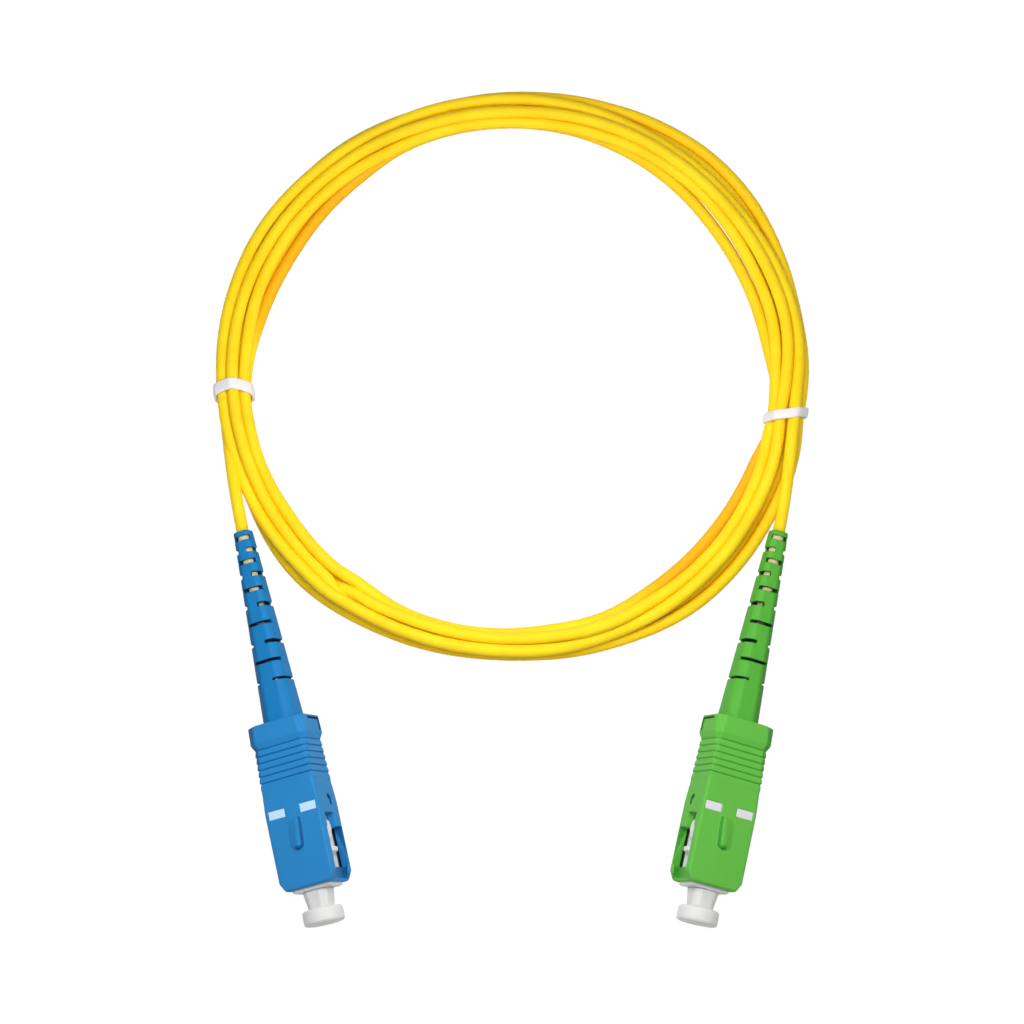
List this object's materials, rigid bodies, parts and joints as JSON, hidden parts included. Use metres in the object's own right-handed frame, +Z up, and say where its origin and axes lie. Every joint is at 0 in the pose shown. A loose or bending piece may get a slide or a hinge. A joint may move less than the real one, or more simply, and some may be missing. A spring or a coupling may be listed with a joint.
{
  "type": "fiber optic patch cord",
  "caption": "Coiled thin fiber optic patch cord held by ties, with a push-pull rectangular connector, tapered slotted boot and dust cap on each end.",
  "frame": {"origin": "on the table, midway between the two connectors and midway along them", "axes": "+X from the blue connector to the green one, +Y from the dust caps to the coil, +Z up"},
  "size_m": [0.0987, 0.1415, 0.0103],
  "materials": {
    "cord_jacket": "soft satin PVC",
    "tie_white": "soft white plastic-covered wire",
    "grip_blue": "satin moulded plastic",
    "grip_green": "satin moulded plastic",
    "boot_blue": "matte flexible thermoplastic",
    "boot_green": "matte flexible thermoplastic",
    "mark_white": "matte moulded inlay",
    "frame_white": "satin moulded plastic",
    "cap_white": "satin moulded plastic",
    "ferrule_ceramic": "polished white zirconia ceramic",
    "flange_metal": "turned nickel-plated metal",
    "spring_steel": "drawn steel wire",
    "fiber_glass": "polished glass",
    "stop_metal": "turned metal",
    "crimp_metal": "pressed metal",
    "yarn": "loose fine filaments",
    "buffer_white": "satin extruded plastic"
  },
  "bodies": {
    "cord": {"cord_coil": "cord_jacket", "cord_tail_a": "cord_jacket", "cord_tail_b": "cord_jacket", "tie_left": "tie_white", "tie_right": "tie_white", "plug_frame_a": "frame_white", "stop_body_a": "stop_metal", "crimp_sleeve_a": "crimp_metal", "aramid_yarn_a": "yarn", "buffer_tube_a": "buffer_white", "jacket_end_a": "cord_jacket", "boot_a": "boot_blue", "ferrule_spring_a": "spring_steel", "plug_frame_b": "frame_white", "stop_body_b": "stop_metal", "crimp_sleeve_b": "crimp_metal", "aramid_yarn_b": "yarn", "buffer_tube_b": "buffer_white", "jacket_end_b": "cord_jacket", "boot_b": "boot_green", "ferrule_spring_b": "spring_steel"},
    "grip_a": {"grip_a": "grip_blue", "grip_marks_a": "mark_white"},
    "ferrule_a": {"ferrule_a": "ferrule_ceramic", "ferrule_flange_a": "flange_metal", "fiber_a": "fiber_glass"},
    "cap_a": {"dust_cap_a": "cap_white"},
    "grip_b": {"grip_b": "grip_green", "grip_marks_b": "mark_white"},
    "ferrule_b": {"ferrule_b": "ferrule_ceramic", "ferrule_flange_b": "flange_metal", "fiber_b": "fiber_glass"},
    "cap_b": {"dust_cap_b": "cap_white"}
  },
  "joints": [
    {"name": "grip_slide_a", "type": "slide", "parent": "cord", "child": "grip_a", "axis": [-0.2207, 0.9753, 0], "range_m": [0, 0.0016]},
    {"name": "ferrule_float_a", "type": "slide", "parent": "cord", "child": "ferrule_a", "axis": [-0.2207, 0.9753, 0], "range_m": [0, 0.001], "stiffness_N_per_m": 1500, "springref_m": -0.004, "deforming": ["ferrule_spring_a"]},
    {"name": "cap_pull_a", "type": "slide", "parent": "cord", "child": "cap_a", "axis": [0.2207, -0.9753, 0], "range_m": [0, 0.012]},
    {"name": "grip_slide_b", "type": "slide", "parent": "cord", "child": "grip_b", "axis": [0.2207, 0.9753, 0], "range_m": [0, 0.0016]},
    {"name": "ferrule_float_b", "type": "slide", "parent": "cord", "child": "ferrule_b", "axis": [0.2207, 0.9753, 0], "range_m": [0, 0.001], "stiffness_N_per_m": 1500, "springref_m": -0.004, "deforming": ["ferrule_spring_b"]},
    {"name": "cap_pull_b", "type": "slide", "parent": "cord", "child": "cap_b", "axis": [-0.2207, -0.9753, 0], "range_m": [0, 0.012]}
  ]
}
